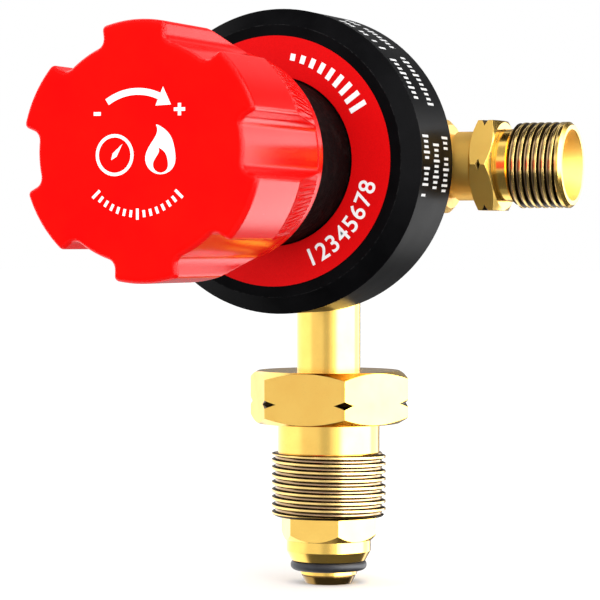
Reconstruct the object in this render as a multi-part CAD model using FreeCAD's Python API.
import FreeCAD, Part
import math
import os

# Gas regulator, bottom entry, single stage, with no gauges. Millimetres, +Z up.
# The origin is the middle of the inlet nut's thread, on the inlet axis. The knob axis and the
# outlet axis cross the inlet axis at AXIS_HEIGHT. The knob faces -Y, the outlet faces +X and
# the inlet faces -Z. Distances called "front" are measured from the inlet axis towards the knob.

# Interfaces
AXIS_HEIGHT = 64.1
INLET_THREAD_RADIUS = 22.911 / 2  # G 5/8, major diameter
INLET_THREAD_WALL = 11.2
OUTLET_THREAD_RADIUS = 16.662 / 2  # G 3/8, major diameter
OUTLET_THREAD_WALL = 9.8
THREAD_CHAMFER = 0.6
THREAD_RUNOUT = 0.5  # past the thread's end chamfer, down to the neck
RUNNING_GAP = 0.07
FACE_GAP = 0.05

# Bonnet ring, spring housing and label
RING_RADIUS = 29.2
RING_REAR = 8.0
RING_FRONT = 28.5
RING_CHAMFER_RADIUS = 26.0
RING_CHAMFER_LENGTH = 2.8
RING_THREAD_RADIUS = 26.0
RING_WEB = 4.5
RING_MOUTH_CHAMFER = 1.2
HOUSING_RADIUS = 15.9
HOUSING_FLANGE_RADIUS = 25.6
HOUSING_FRONT = 56.0
HOUSING_CAVITY_RADIUS = 13.2
HOUSING_CAVITY_FRONT = 46.6
HOUSING_BELL_RADIUS = 20.5
HOUSING_BELL_FRONT = 21.6
LABEL_INNER_RADIUS = 16.2
LABEL_OUTER_RADIUS = 23.9
LABEL_THICKNESS = 0.2

# Knob and adjusting screw
KNOB_REAR = 51.5
KNOB_FRONT = 87.5
KNOB_RADIUS = 22.65
KNOB_FLOOR_RADIUS = 19.45
KNOB_RIM_RADIUS = 19.6
KNOB_RIM_LENGTH = 2.0
KNOB_RIM_STEP = 0.1  # grip over the rim where the two meet
KNOB_STRAIGHT_LENGTH = 18.5
KNOB_FLUTES = 6
KNOB_FLUTE_START = 3.0
KNOB_FLUTE_TOP_ANGLE = 14.5
KNOB_FLUTE_FLOOR_ANGLE = 12.6
KNOB_LOBE_ROUND = 0.8
KNOB_FLOOR_ROUND = 1.8
KNOB_FACE_ROUND = 1.5
KNOB_WALL = 3.5
KNOB_CAVITY_RADIUS = 16.9
KNOB_HUB_RADIUS = 9.5
KNOB_HUB_REAR = 64.6
KNOB_RIB_THICKNESS = 1.6
SCREW_RADIUS = 6.0
SCREW_TIP_RADIUS = 3.0
SCREW_REAR = 43.9
SCREW_FRONT = 82.0
CLIP_RADIUS = 7.6
CLIP_GROOVE_RADIUS = 5.1
CLIP_THICKNESS = 1.1

# Control spring and diaphragm
BUTTON_THICKNESS = 2.5
SEAT_BOSS_RADIUS = 9.2
SEAT_BOSS_LENGTH = 2.2
CONTROL_COIL_RADIUS = 10.9
CONTROL_WIRE_RADIUS = 1.15
CONTROL_TURNS = 5
DIAPHRAGM_FACE = 17.0
DIAPHRAGM_THICKNESS = 0.9
SLIP_RING_THICKNESS = 0.7
PLATE_RADIUS = 18.0
PLATE_THICKNESS = 2.5
PUSHER_RADIUS = 9.0
PUSHER_THICKNESS = 1.6
PUSHER_PAD_RADIUS = 2.5
PUSHER_STUD_RADIUS = 2.9
DIAPHRAGM_NUT_FLATS = 8.0
DIAPHRAGM_NUT_THICKNESS = 2.6

# Valve
NOZZLE_RADIUS = 7.0
NOZZLE_COLLAR_RADIUS = 8.8
NOZZLE_COLLAR_FRONT = 12.6
NOZZLE_REAR = 4.5
NOZZLE_BORE_RADIUS = 1.5
SEAT_LIP_RADIUS = 2.2
SEAT_LIP_FRONT = 3.8
SEAT_LIP_FLARE = 1.0
SEAL_THICKNESS = 1.0
PIN_RADIUS = 0.9
PIN_FRONT = 14.2
POPPET_RADIUS = 4.2
POPPET_REAR = -3.0
POPPET_TAIL_RADIUS = 1.6
POPPET_TAIL_REAR = -6.5
SEAT_DISC_RADIUS = 3.4
SEAT_DISC_THICKNESS = 1.8
POPPET_RIM_FRONT = 2.9
VALVE_COIL_RADIUS = 3.0
VALVE_WIRE_RADIUS = 0.35
VALVE_TURNS = 6

# Body
BODY_RADIUS = 22.0
BODY_REAR = -16.0
BODY_EDGE = 4.0
BODY_RECESS_RADIUS = 13.0
BODY_RECESS_DEPTH = 0.8
BODY_FLANGE_REAR = 10.0
LOW_CHAMBER_RADIUS = 19.5
LOW_CHAMBER_FLOOR = 11.0
HIGH_CHAMBER_RADIUS = 5.0
HIGH_CHAMBER_REAR = -11.0
INLET_BOSS_RADIUS = 9.5
INLET_BOSS_DROP = 25.0
INLET_PORT_DROP = 16.5
OUTLET_BOSS_RADIUS = 9.2
OUTLET_BOSS_REACH = 26.0
OUTLET_DROP = 0.5  # outlet axis below the knob axis
OUTLET_PORT_START = 15.0
OUTLET_PORT_RADIUS = 6.2
OUTLET_PASSAGE_START = 9.5
LINK_PASSAGE_RADIUS = 1.9
LINK_PASSAGE_REACH = 12.3
BOSS_CHAMFER = 1.0

# Inlet fitting, heights from the origin
STEM_RADIUS = 6.35
STEM_SOCKET_RADIUS = 4.2
STEM_SOCKET_TOP = 13.0
GAS_BORE_RADIUS = 2.2
NUT_FLATS = 29.0
NUT_HEX_LOW = 12.5
NUT_HEX_HIGH = 23.0
NUT_NECK_RADIUS = 10.2
NUT_NOTCH_RADIUS = 15.7
NUT_NOTCH_HALF_WIDTH = 0.8
NUT_NOTCH_HEIGHT = 16.7
NUT_TURN = 32.8
WASHER_RADIUS = 8.5
WASHER_THICKNESS = 2.0
COLLAR_TOP = -6.3
COLLAR_FLATS = 17.46
COLLAR_HEIGHT = 4.6
COLLAR_END_RADIUS = 8.7
NIPPLE_RADIUS = 8.45
NIPPLE_SHOULDER_LOW = -13.1
NIPPLE_CONE_LOW = -15.0
NIPPLE_CONE_RADIUS = 7.45
RING_GROOVE_RADIUS = 5.65
O_RING_SECTION_RADIUS = 1.0
NIPPLE_LAND_TOP = -17.0
NIPPLE_TIP_TOP = -18.1
NIPPLE_TIP_LOW = -19.6
NIPPLE_TIP_RADIUS = 5.4
TIP_GROOVE_RADIUS = 5.1
TIP_GROOVE_WIDTH = 0.3
NIPPLE_TIP_END_RADIUS = 4.7
SPIGOT_TOP = 4.0
FILTER_TOP = 12.0
FILTER_RADIUS = 3.2
FILTER_WALL = 1.0

# Outlet fitting, distances from the inlet axis
OUTLET_NECK_RADIUS = 6.75
OUTLET_UNDERCUT_RADIUS = 6.2
OUTLET_UNDERCUT_LENGTH = 1.8
OUTLET_FLATS = 17.46
OUTLET_HEX_START = 32.3
OUTLET_HEX_END = 37.1
OUTLET_NOTCH_RADIUS = 9.5
OUTLET_NOTCH_HALF_WIDTH = 0.6
OUTLET_RELIEF_RADIUS = 7.1
OUTLET_THREAD_START = 39.8
OUTLET_BORE_RADIUS = 3.5
OUTLET_MOUTH_RADIUS = 6.9
OUTLET_CONE_ANGLE = 30.0

FULL_TURN = 360.0
QUARTER_TURN = 90.0
HEX_SIDES = 6
HEX_CHAMFER_ANGLE = 30.0
HEX_END_SETBACK = 0.3  # end face of a spanner hexagon, inside its flats
OVERCUT = 1.0
SAME_PLACE = 0.01

UP = FreeCAD.Vector(0, 0, 1)
ORIGIN = FreeCAD.Vector(0, 0, 0)
SLIP_RING_REAR = DIAPHRAGM_FACE + DIAPHRAGM_THICKNESS
HOUSING_REAR = SLIP_RING_REAR + SLIP_RING_THICKNESS
PLATE_FRONT = SLIP_RING_REAR + PLATE_THICKNESS
BUTTON_REAR = SCREW_REAR - BUTTON_THICKNESS
WEB_REAR = RING_FRONT - RING_WEB
THREAD_TOP = INLET_THREAD_WALL / 2 + THREAD_CHAMFER
OUTLET_THREAD_END = OUTLET_THREAD_START + OUTLET_THREAD_WALL + 2 * THREAD_CHAMFER


def turned(outline):
    """Solid of revolution about +Z, from (radius, height) corners."""
    corners = [FreeCAD.Vector(radius, 0, height) for radius, height in outline]
    face = Part.Face(Part.makePolygon(corners + corners[:1]))
    return face.revolve(ORIGIN, UP, FULL_TURN)


def disc(radius, low, high):
    return Part.makeCylinder(radius, high - low, FreeCAD.Vector(0, 0, low))


def tube(outer, inner, low, high):
    return disc(outer, low, high).cut(disc(inner, low - OVERCUT, high + OVERCUT))


def to_front(shape):
    """Turn a shape made along +Z to lie along the knob axis, facing -Y."""
    placed = shape.copy()
    placed.rotate(ORIGIN, FreeCAD.Vector(1, 0, 0), QUARTER_TURN)
    placed.translate(FreeCAD.Vector(0, 0, AXIS_HEIGHT))
    return placed


def to_outlet(shape):
    """Turn a shape made along +Z to lie along the outlet axis, facing +X."""
    placed = shape.copy()
    placed.rotate(ORIGIN, FreeCAD.Vector(0, 1, 0), QUARTER_TURN)
    placed.translate(FreeCAD.Vector(0, 0, AXIS_HEIGHT - OUTLET_DROP))
    return placed


def to_inlet(shape):
    """Lift a shape measured from the knob axis, along +Z, to its place on the inlet axis."""
    placed = shape.copy()
    placed.translate(FreeCAD.Vector(0, 0, AXIS_HEIGHT))
    return placed


def polar(radius, degrees):
    angle = math.radians(degrees)
    return FreeCAD.Vector(radius * math.cos(angle), radius * math.sin(angle), 0)


def hexagon(flats, low, high):
    """Hexagonal bar about +Z, with a corner towards +X."""
    corner_radius = flats / math.sqrt(3)
    corners = []
    for side in range(HEX_SIDES + 1):
        corners.append(polar(corner_radius, side * FULL_TURN / HEX_SIDES) + UP * low)
    return Part.Face(Part.makePolygon(corners)).extrude(UP * (high - low))


def chamfered_hexagon(flats, low, high, chamfer_low=True):
    """Hexagonal bar whose corners are turned off at its ends, as on a spanner hexagon."""
    corner_radius = flats / math.sqrt(3)
    end_radius = flats / 2 - HEX_END_SETBACK
    drop = (corner_radius - end_radius) * math.tan(math.radians(HEX_CHAMFER_ANGLE))
    outline = [(0, low), (corner_radius, low)]
    if chamfer_low:
        outline = [(0, low), (end_radius, low), (corner_radius, low + drop)]
    outline += [(corner_radius, high - drop), (end_radius, high), (0, high)]
    envelope = turned(outline)
    return hexagon(flats, low, high).common(envelope)


def corner_notch(notch_radius, flats, middle, half_width):
    """Ring cutter of V section that nicks the corners of a hexagon, the left-hand thread mark."""
    outer = flats / math.sqrt(3) + OVERCUT
    slope = half_width / (flats / math.sqrt(3) - notch_radius)
    mouth = (outer - notch_radius) * slope
    return turned([(notch_radius, middle), (outer, middle - mouth), (outer, middle + mouth)])


def coil_spring(coil_radius, wire_radius, low, high, turns):
    """Compression spring about +Z with its two ends ground flat."""
    length = high - low
    path = Part.Wire(Part.makeHelix(length / turns, length, coil_radius))
    start_slope = FreeCAD.Vector(0, 2 * math.pi * coil_radius, length / turns)
    section = Part.makeCircle(wire_radius, FreeCAD.Vector(coil_radius, 0, 0), start_slope)
    coil = path.makePipeShell([Part.Wire(section)], True, True)
    ground = coil.common(disc(coil_radius + 2 * wire_radius, 0, length))
    ground.translate(FreeCAD.Vector(0, 0, low))
    return ground


# Body and the pieces that stay with it


def body():
    """Brass forging with the diaphragm seat in front and the two port bosses."""
    outline = [
        (0, BODY_REAR + BODY_RECESS_DEPTH),
        (BODY_RECESS_RADIUS - BODY_RECESS_DEPTH, BODY_REAR + BODY_RECESS_DEPTH),
        (BODY_RECESS_RADIUS, BODY_REAR),
        (BODY_RADIUS, BODY_REAR),
        (BODY_RADIUS, BODY_FLANGE_REAR),
        (RING_THREAD_RADIUS, BODY_FLANGE_REAR),
        (RING_THREAD_RADIUS, DIAPHRAGM_FACE),
        (LOW_CHAMBER_RADIUS, DIAPHRAGM_FACE),
        (LOW_CHAMBER_RADIUS, LOW_CHAMBER_FLOOR),
        (NOZZLE_RADIUS, LOW_CHAMBER_FLOOR),
        (NOZZLE_RADIUS, NOZZLE_REAR - SEAL_THICKNESS),
        (HIGH_CHAMBER_RADIUS, NOZZLE_REAR - SEAL_THICKNESS),
        (HIGH_CHAMBER_RADIUS, HIGH_CHAMBER_REAR),
        (0, HIGH_CHAMBER_REAR),
    ]
    shell = turned(outline)
    rear_edges = edges_at_height(shell, BODY_REAR)
    outer_edges = [edge for edge in rear_edges if edge.BoundBox.XMax > BODY_RADIUS - OVERCUT]
    shell = to_front(shell.makeFillet(BODY_EDGE, outer_edges))
    shell = shell.fuse(inlet_boss()).fuse(outlet_boss())
    chambers = to_front(disc(NOZZLE_RADIUS, NOZZLE_REAR - SEAL_THICKNESS, DIAPHRAGM_FACE))
    chambers = chambers.fuse(to_front(disc(HIGH_CHAMBER_RADIUS, HIGH_CHAMBER_REAR, DIAPHRAGM_FACE)))
    link = disc(LINK_PASSAGE_RADIUS, 0, LOW_CHAMBER_FLOOR + OVERCUT)
    link.translate(FreeCAD.Vector(LINK_PASSAGE_REACH, 0, 0))
    inlet_port = disc(STEM_RADIUS, -INLET_BOSS_DROP - OVERCUT, -INLET_PORT_DROP)
    inlet_passage = disc(GAS_BORE_RADIUS, -INLET_PORT_DROP - OVERCUT, 0)
    outlet_port = disc(OUTLET_PORT_RADIUS, OUTLET_PORT_START, OUTLET_BOSS_REACH + OVERCUT)
    outlet_passage = disc(OUTLET_BORE_RADIUS, OUTLET_PASSAGE_START, OUTLET_PORT_START + OVERCUT)
    bores = [chambers, to_front(link), to_inlet(inlet_port), to_inlet(inlet_passage)]
    bores += [to_outlet(outlet_port), to_outlet(outlet_passage)]
    for bore in bores:
        shell = shell.cut(bore)
    return shell.removeSplitter()


def inlet_boss():
    outline = [
        (0, -INLET_BOSS_DROP),
        (INLET_BOSS_RADIUS - BOSS_CHAMFER, -INLET_BOSS_DROP),
        (INLET_BOSS_RADIUS, BOSS_CHAMFER - INLET_BOSS_DROP),
        (INLET_BOSS_RADIUS, -INLET_PORT_DROP),
        (0, -INLET_PORT_DROP),
    ]
    return to_inlet(turned(outline))


def outlet_boss():
    outline = [
        (0, OUTLET_PORT_START),
        (OUTLET_BOSS_RADIUS, OUTLET_PORT_START),
        (OUTLET_BOSS_RADIUS, OUTLET_BOSS_REACH - BOSS_CHAMFER),
        (OUTLET_BOSS_RADIUS - BOSS_CHAMFER, OUTLET_BOSS_REACH),
        (0, OUTLET_BOSS_REACH),
    ]
    return to_outlet(turned(outline))


def bonnet_ring():
    """Screwed ring that clamps the spring housing and the diaphragm to the body."""
    hole_radius = HOUSING_RADIUS + 2 * RUNNING_GAP
    outline = [
        (RING_THREAD_RADIUS, RING_REAR + RING_MOUTH_CHAMFER),
        (RING_THREAD_RADIUS + RING_MOUTH_CHAMFER, RING_REAR),
        (RING_RADIUS - BOSS_CHAMFER / 2, RING_REAR),
        (RING_RADIUS, RING_REAR + BOSS_CHAMFER / 2),
        (RING_RADIUS, RING_FRONT - RING_CHAMFER_LENGTH),
        (RING_CHAMFER_RADIUS, RING_FRONT),
        (hole_radius, RING_FRONT),
        (hole_radius, WEB_REAR),
        (RING_THREAD_RADIUS, WEB_REAR),
    ]
    return to_front(turned(outline))


def label_plate():
    front = RING_FRONT + LABEL_THICKNESS
    return to_front(tube(LABEL_OUTER_RADIUS, LABEL_INNER_RADIUS, RING_FRONT, front))


def spring_housing():
    """Die-cast housing of the control spring, with the adjusting screw's nut thread in its nose."""
    screw_hole = SCREW_RADIUS + RUNNING_GAP
    outline = [
        (HOUSING_BELL_RADIUS, HOUSING_REAR),
        (HOUSING_FLANGE_RADIUS, HOUSING_REAR),
        (HOUSING_FLANGE_RADIUS, WEB_REAR),
        (HOUSING_RADIUS, WEB_REAR),
        (HOUSING_RADIUS, HOUSING_FRONT - BOSS_CHAMFER),
        (HOUSING_RADIUS - BOSS_CHAMFER, HOUSING_FRONT),
        (screw_hole, HOUSING_FRONT),
        (screw_hole, HOUSING_CAVITY_FRONT),
        (HOUSING_CAVITY_RADIUS, HOUSING_CAVITY_FRONT),
        (HOUSING_CAVITY_RADIUS, HOUSING_BELL_FRONT),
        (HOUSING_BELL_RADIUS, HOUSING_BELL_FRONT),
    ]
    return to_front(turned(outline))


def slip_ring():
    return to_front(tube(HOUSING_FLANGE_RADIUS, HOUSING_BELL_RADIUS, SLIP_RING_REAR, HOUSING_REAR))


def diaphragm():
    return to_front(tube(HOUSING_FLANGE_RADIUS, PUSHER_STUD_RADIUS, DIAPHRAGM_FACE, SLIP_RING_REAR))


# Knob group


def knob_outline():
    """Closed wire with KNOB_FLUTES flutes cut into a circle."""
    edges = []
    step = FULL_TURN / KNOB_FLUTES
    for flute in range(KNOB_FLUTES):
        middle = KNOB_FLUTE_START + flute * step
        wall_start = polar(KNOB_RADIUS, middle - KNOB_FLUTE_TOP_ANGLE)
        floor_start = polar(KNOB_FLOOR_RADIUS, middle - KNOB_FLUTE_FLOOR_ANGLE)
        floor_end = polar(KNOB_FLOOR_RADIUS, middle + KNOB_FLUTE_FLOOR_ANGLE)
        wall_end = polar(KNOB_RADIUS, middle + KNOB_FLUTE_TOP_ANGLE)
        lobe_end = polar(KNOB_RADIUS, middle + step - KNOB_FLUTE_TOP_ANGLE)
        edges.append(Part.makeLine(wall_start, floor_start))
        edges.append(Part.Arc(floor_start, polar(KNOB_FLOOR_RADIUS, middle), floor_end).toShape())
        edges.append(Part.makeLine(floor_end, wall_end))
        edges.append(Part.Arc(wall_end, polar(KNOB_RADIUS, middle + step / 2), lobe_end).toShape())
    return Part.Wire(edges)


def upright_edges(shape, at_radius):
    """Edges parallel to +Z that lie at a given distance from the axis."""
    found = []
    for edge in shape.Edges:
        first = edge.Vertexes[0].Point
        along = edge.Vertexes[-1].Point - first
        upright = abs(along.z) > OVERCUT and math.hypot(along.x, along.y) < SAME_PLACE
        if upright and abs(math.hypot(first.x, first.y) - at_radius) < SAME_PLACE:
            found.append(edge)
    return found


def edges_at_height(shape, height):
    found = []
    for edge in shape.Edges:
        if all(abs(vertex.Z - height) < SAME_PLACE for vertex in edge.Vertexes):
            found.append(edge)
    return found


def knob_grip():
    """Fluted grip, straight in front and tapering to the rear rim."""
    grip_rear = KNOB_REAR + KNOB_RIM_LENGTH
    grip = Part.Face(knob_outline()).extrude(UP * (KNOB_FRONT - grip_rear))
    grip.translate(UP * grip_rear)
    grip = grip.makeFillet(KNOB_LOBE_ROUND, upright_edges(grip, KNOB_RADIUS))
    grip = grip.makeFillet(KNOB_FLOOR_ROUND, upright_edges(grip, KNOB_FLOOR_RADIUS))
    grip = grip.makeFillet(KNOB_FACE_ROUND, edges_at_height(grip, KNOB_FRONT))
    taper_outline = [
        (0, grip_rear),
        (KNOB_RIM_RADIUS + KNOB_RIM_STEP, grip_rear),
        (KNOB_RADIUS + KNOB_RIM_STEP, KNOB_FRONT - KNOB_STRAIGHT_LENGTH),
        (KNOB_RADIUS + KNOB_RIM_STEP, KNOB_FRONT),
        (0, KNOB_FRONT),
    ]
    return grip.common(turned(taper_outline))


def adjusting_knob():
    cavity_front = KNOB_FRONT - KNOB_WALL
    rim = disc(KNOB_RIM_RADIUS, KNOB_REAR, KNOB_REAR + KNOB_RIM_LENGTH)
    shell = knob_grip().fuse(rim)
    shell = shell.cut(disc(KNOB_CAVITY_RADIUS, KNOB_REAR - OVERCUT, cavity_front))
    hub = disc(KNOB_HUB_RADIUS, KNOB_HUB_REAR, cavity_front)
    rib_reach = KNOB_CAVITY_RADIUS + OVERCUT
    for rib in range(KNOB_FLUTES):
        blade = Part.makeBox(rib_reach, KNOB_RIB_THICKNESS, cavity_front - KNOB_HUB_REAR - OVERCUT)
        blade.translate(FreeCAD.Vector(0, -KNOB_RIB_THICKNESS / 2, KNOB_HUB_REAR + OVERCUT))
        blade.rotate(ORIGIN, UP, KNOB_FLUTE_START + rib * FULL_TURN / KNOB_FLUTES)
        hub = hub.fuse(blade)
    knob = shell.fuse(hub).cut(disc(SCREW_RADIUS, KNOB_HUB_REAR - OVERCUT, SCREW_FRONT))
    return to_front(knob.removeSplitter())


def clip_groove_front():
    return HOUSING_CAVITY_FRONT - FACE_GAP


def adjusting_screw():
    groove_front = clip_groove_front()
    groove_rear = groove_front - CLIP_THICKNESS
    outline = [
        (0, SCREW_REAR),
        (SCREW_TIP_RADIUS, SCREW_REAR),
        (CLIP_GROOVE_RADIUS, groove_rear),
        (CLIP_GROOVE_RADIUS, groove_front),
        (SCREW_RADIUS, groove_front),
        (SCREW_RADIUS, SCREW_FRONT),
        (0, SCREW_FRONT),
    ]
    return to_front(turned(outline))


def screw_clip():
    """Snap ring that keeps the screw from being wound out of the housing."""
    front = clip_groove_front()
    return to_front(tube(CLIP_RADIUS, CLIP_GROOVE_RADIUS, front - CLIP_THICKNESS, front))


def spring_button():
    plate = disc(HOUSING_CAVITY_RADIUS - RUNNING_GAP, BUTTON_REAR, SCREW_REAR)
    boss = disc(SEAT_BOSS_RADIUS, BUTTON_REAR - SEAT_BOSS_LENGTH, BUTTON_REAR)
    return to_front(plate.fuse(boss).removeSplitter())


def adjusting_spring():
    wire = CONTROL_WIRE_RADIUS
    return to_front(coil_spring(CONTROL_COIL_RADIUS, wire, PLATE_FRONT, BUTTON_REAR, CONTROL_TURNS))


# Diaphragm stack


def diaphragm_plate():
    plate = disc(PLATE_RADIUS, SLIP_RING_REAR, PLATE_FRONT)
    boss = disc(SEAT_BOSS_RADIUS, PLATE_FRONT, PLATE_FRONT + SEAT_BOSS_LENGTH)
    hole = disc(PUSHER_STUD_RADIUS, DIAPHRAGM_FACE, PLATE_FRONT + SEAT_BOSS_LENGTH + OVERCUT)
    return to_front(plate.fuse(boss).cut(hole).removeSplitter())


def nut_rear():
    return PLATE_FRONT + SEAT_BOSS_LENGTH


def diaphragm_pusher():
    plate_rear = DIAPHRAGM_FACE - PUSHER_THICKNESS
    pad = disc(PUSHER_PAD_RADIUS, PIN_FRONT + FACE_GAP, plate_rear)
    plate = disc(PUSHER_RADIUS, plate_rear, DIAPHRAGM_FACE)
    stud = disc(PUSHER_STUD_RADIUS, DIAPHRAGM_FACE, nut_rear() + DIAPHRAGM_NUT_THICKNESS + OVERCUT)
    return to_front(pad.fuse(plate).fuse(stud).removeSplitter())


def diaphragm_nut():
    rear = nut_rear()
    front = rear + DIAPHRAGM_NUT_THICKNESS
    nut = chamfered_hexagon(DIAPHRAGM_NUT_FLATS, rear, front, chamfer_low=False)
    return to_front(nut.cut(disc(PUSHER_STUD_RADIUS, rear - OVERCUT, front + OVERCUT)))


# Valve


def valve_nozzle():
    outline = [
        (NOZZLE_BORE_RADIUS, SEAT_LIP_FRONT),
        (SEAT_LIP_RADIUS, SEAT_LIP_FRONT),
        (SEAT_LIP_RADIUS + SEAT_LIP_FLARE, NOZZLE_REAR),
        (NOZZLE_RADIUS, NOZZLE_REAR),
        (NOZZLE_RADIUS, LOW_CHAMBER_FLOOR),
        (NOZZLE_COLLAR_RADIUS, LOW_CHAMBER_FLOOR),
        (NOZZLE_COLLAR_RADIUS, NOZZLE_COLLAR_FRONT),
        (NOZZLE_BORE_RADIUS, NOZZLE_COLLAR_FRONT),
    ]
    return to_front(turned(outline))


def nozzle_seal():
    rear = NOZZLE_REAR - SEAL_THICKNESS
    return to_front(tube(NOZZLE_RADIUS, HIGH_CHAMBER_RADIUS, rear, NOZZLE_REAR))


def valve_poppet():
    disc_rear = SEAT_LIP_FRONT - SEAT_DISC_THICKNESS
    outline = [
        (0, POPPET_TAIL_REAR),
        (POPPET_TAIL_RADIUS, POPPET_TAIL_REAR),
        (POPPET_TAIL_RADIUS, POPPET_REAR),
        (POPPET_RADIUS, POPPET_REAR),
        (POPPET_RADIUS, POPPET_RIM_FRONT),
        (SEAT_DISC_RADIUS, POPPET_RIM_FRONT),
        (SEAT_DISC_RADIUS, disc_rear),
        (PIN_RADIUS, disc_rear),
        (PIN_RADIUS, PIN_FRONT),
        (0, PIN_FRONT),
    ]
    return to_front(turned(outline))


def seat_disc():
    rear = SEAT_LIP_FRONT - SEAT_DISC_THICKNESS
    return to_front(tube(SEAT_DISC_RADIUS, PIN_RADIUS, rear, SEAT_LIP_FRONT))


def valve_spring():
    wire = VALVE_WIRE_RADIUS
    return to_front(coil_spring(VALVE_COIL_RADIUS, wire, HIGH_CHAMBER_REAR, POPPET_REAR, VALVE_TURNS))


# Inlet fitting


def stem_top():
    return AXIS_HEIGHT - INLET_PORT_DROP - SEAL_THICKNESS


def inlet_stem():
    top = stem_top()
    outline = [
        (STEM_SOCKET_RADIUS, COLLAR_TOP),
        (STEM_RADIUS, COLLAR_TOP),
        (STEM_RADIUS, top),
        (GAS_BORE_RADIUS, top),
        (GAS_BORE_RADIUS, STEM_SOCKET_TOP),
        (STEM_SOCKET_RADIUS, STEM_SOCKET_TOP),
    ]
    return turned(outline)


def stem_seal():
    return tube(STEM_RADIUS, GAS_BORE_RADIUS, stem_top(), stem_top() + SEAL_THICKNESS)


def inlet_filter():
    """Sintered cup, closed at its top, on a flange over the nipple's spigot."""
    outline = [
        (GAS_BORE_RADIUS, SPIGOT_TOP),
        (STEM_SOCKET_RADIUS, SPIGOT_TOP),
        (STEM_SOCKET_RADIUS, SPIGOT_TOP + FILTER_WALL),
        (FILTER_RADIUS, SPIGOT_TOP + FILTER_WALL),
        (FILTER_RADIUS, FILTER_TOP),
        (0, FILTER_TOP),
        (0, FILTER_TOP - FILTER_WALL),
        (GAS_BORE_RADIUS, FILTER_TOP - FILTER_WALL),
    ]
    return turned(outline)


def bullnose_nipple():
    """Nipple that seals in the cylinder valve: hexagon collar, shoulder, ring groove and tip."""
    collar_low = COLLAR_TOP - COLLAR_HEIGHT
    outline = [
        (0, NIPPLE_TIP_LOW),
        (NIPPLE_TIP_END_RADIUS, NIPPLE_TIP_LOW),
        (NIPPLE_TIP_RADIUS, NIPPLE_TIP_TOP),
        (TIP_GROOVE_RADIUS, NIPPLE_TIP_TOP),
        (TIP_GROOVE_RADIUS, NIPPLE_TIP_TOP + TIP_GROOVE_WIDTH),
        (RING_GROOVE_RADIUS, NIPPLE_TIP_TOP + TIP_GROOVE_WIDTH),
        (RING_GROOVE_RADIUS, NIPPLE_CONE_LOW),
        (NIPPLE_CONE_RADIUS, NIPPLE_CONE_LOW),
        (NIPPLE_RADIUS, NIPPLE_SHOULDER_LOW),
        (NIPPLE_RADIUS, collar_low),
        (0, collar_low),
    ]
    collar = hexagon(COLLAR_FLATS, collar_low, COLLAR_TOP).common(collar_envelope(collar_low))
    spigot = disc(STEM_SOCKET_RADIUS, COLLAR_TOP, SPIGOT_TOP)
    nipple = turned(outline).fuse(collar).fuse(spigot)
    bore = disc(GAS_BORE_RADIUS, NIPPLE_TIP_LOW - OVERCUT, SPIGOT_TOP + OVERCUT)
    nipple = nipple.cut(bore).removeSplitter()
    nipple.rotate(ORIGIN, UP, nut_corner_angle())
    return nipple


def collar_envelope(collar_low):
    corner_radius = COLLAR_FLATS / math.sqrt(3)
    drop = corner_radius - COLLAR_END_RADIUS
    outline = [(0, collar_low), (COLLAR_END_RADIUS, collar_low), (corner_radius, collar_low + drop)]
    return turned(outline + [(corner_radius, COLLAR_TOP), (0, COLLAR_TOP)])


def nipple_o_ring():
    middle = (NIPPLE_CONE_LOW + NIPPLE_LAND_TOP) / 2
    ring_radius = RING_GROOVE_RADIUS + O_RING_SECTION_RADIUS
    return Part.makeTorus(ring_radius, O_RING_SECTION_RADIUS, FreeCAD.Vector(0, 0, middle), UP)


def nut_corner_angle():
    """The corner that faces the front, turned a little towards the outlet."""
    return NUT_TURN - QUARTER_TURN


def inlet_nut():
    """Left-hand male nut that slides and spins on the stem, above the nipple's collar."""
    bore_radius = STEM_RADIUS + RUNNING_GAP
    counterbore_radius = WASHER_RADIUS + RUNNING_GAP
    counterbore_top = -THREAD_TOP + WASHER_THICKNESS
    chamfer_radius = INLET_THREAD_RADIUS - THREAD_CHAMFER
    outline = [
        (counterbore_radius, -THREAD_TOP),
        (chamfer_radius, -THREAD_TOP),
        (INLET_THREAD_RADIUS, THREAD_CHAMFER - THREAD_TOP),
        (INLET_THREAD_RADIUS, THREAD_TOP - THREAD_CHAMFER),
        (NUT_NECK_RADIUS, THREAD_TOP + THREAD_RUNOUT),
        (NUT_NECK_RADIUS, NUT_HEX_LOW),
        (bore_radius, NUT_HEX_LOW),
        (bore_radius, counterbore_top),
        (counterbore_radius, counterbore_top),
    ]
    head = chamfered_hexagon(NUT_FLATS, NUT_HEX_LOW, NUT_HEX_HIGH)
    notch = corner_notch(NUT_NOTCH_RADIUS, NUT_FLATS, NUT_NOTCH_HEIGHT, NUT_NOTCH_HALF_WIDTH)
    head = head.cut(notch)
    head = head.cut(disc(bore_radius, NUT_HEX_LOW - OVERCUT, NUT_HEX_HIGH + OVERCUT))
    head.rotate(ORIGIN, UP, nut_corner_angle())
    return turned(outline).fuse(head).removeSplitter()


def thrust_washer():
    low = COLLAR_TOP + FACE_GAP
    high = WASHER_THICKNESS - THREAD_TOP - FACE_GAP
    return tube(WASHER_RADIUS, STEM_RADIUS + RUNNING_GAP, low, high)


# Outlet fitting


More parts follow.
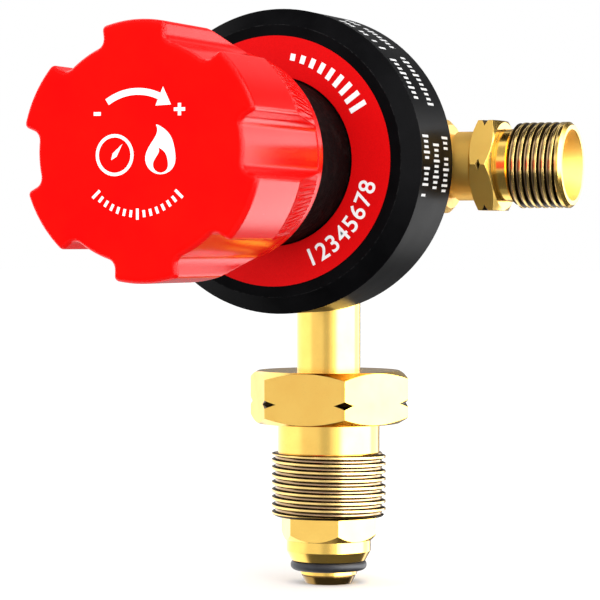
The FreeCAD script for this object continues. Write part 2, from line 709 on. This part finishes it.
def outlet_adapter():
    """Outlet nipple with a spanner hexagon, a left-hand male thread and a cone seat in its mouth."""
    chamfer_radius = OUTLET_THREAD_RADIUS - THREAD_CHAMFER
    shank_start = OUTLET_PORT_START + SEAL_THICKNESS
    cone_slope = math.tan(math.radians(OUTLET_CONE_ANGLE))
    cone_depth = (OUTLET_MOUTH_RADIUS - OUTLET_BORE_RADIUS) / cone_slope
    outline = [
        (OUTLET_BORE_RADIUS, shank_start),
        (OUTLET_PORT_RADIUS, shank_start),
        (OUTLET_UNDERCUT_RADIUS, OUTLET_BOSS_REACH + OUTLET_UNDERCUT_LENGTH),
        (OUTLET_NECK_RADIUS, OUTLET_BOSS_REACH + OUTLET_UNDERCUT_LENGTH),
        (OUTLET_NECK_RADIUS, OUTLET_HEX_END),
        (OUTLET_RELIEF_RADIUS, OUTLET_HEX_END),
        (OUTLET_RELIEF_RADIUS, OUTLET_THREAD_START - THREAD_RUNOUT),
        (OUTLET_THREAD_RADIUS, OUTLET_THREAD_START + THREAD_CHAMFER),
        (OUTLET_THREAD_RADIUS, OUTLET_THREAD_END - THREAD_CHAMFER),
        (chamfer_radius, OUTLET_THREAD_END),
        (OUTLET_MOUTH_RADIUS, OUTLET_THREAD_END),
        (OUTLET_BORE_RADIUS, OUTLET_THREAD_END - cone_depth),
    ]
    head = chamfered_hexagon(OUTLET_FLATS, OUTLET_HEX_START, OUTLET_HEX_END)
    middle = (OUTLET_HEX_START + OUTLET_HEX_END) / 2
    notch = corner_notch(OUTLET_NOTCH_RADIUS, OUTLET_FLATS, middle, OUTLET_NOTCH_HALF_WIDTH)
    head = head.cut(notch)
    head = head.cut(disc(OUTLET_BORE_RADIUS, OUTLET_HEX_START - OVERCUT, OUTLET_HEX_END + OVERCUT))
    head.rotate(ORIGIN, UP, QUARTER_TURN)
    return to_outlet(turned(outline).fuse(head).removeSplitter())


def outlet_seal():
    high = OUTLET_PORT_START + SEAL_THICKNESS
    return to_outlet(tube(OUTLET_PORT_RADIUS, OUTLET_BORE_RADIUS, OUTLET_PORT_START, high))


NODES = [
    body,
    bonnet_ring,
    label_plate,
    spring_housing,
    slip_ring,
    diaphragm,
    adjusting_knob,
    adjusting_screw,
    screw_clip,
    spring_button,
    adjusting_spring,
    diaphragm_plate,
    diaphragm_pusher,
    diaphragm_nut,
    valve_nozzle,
    nozzle_seal,
    valve_poppet,
    seat_disc,
    valve_spring,
    inlet_stem,
    stem_seal,
    inlet_filter,
    bullnose_nipple,
    nipple_o_ring,
    inlet_nut,
    thrust_washer,
    outlet_adapter,
    outlet_seal,
]

os.makedirs("parts", exist_ok=True)
for node in NODES:
    node().exportStep(f"parts/{node.__name__}.step")
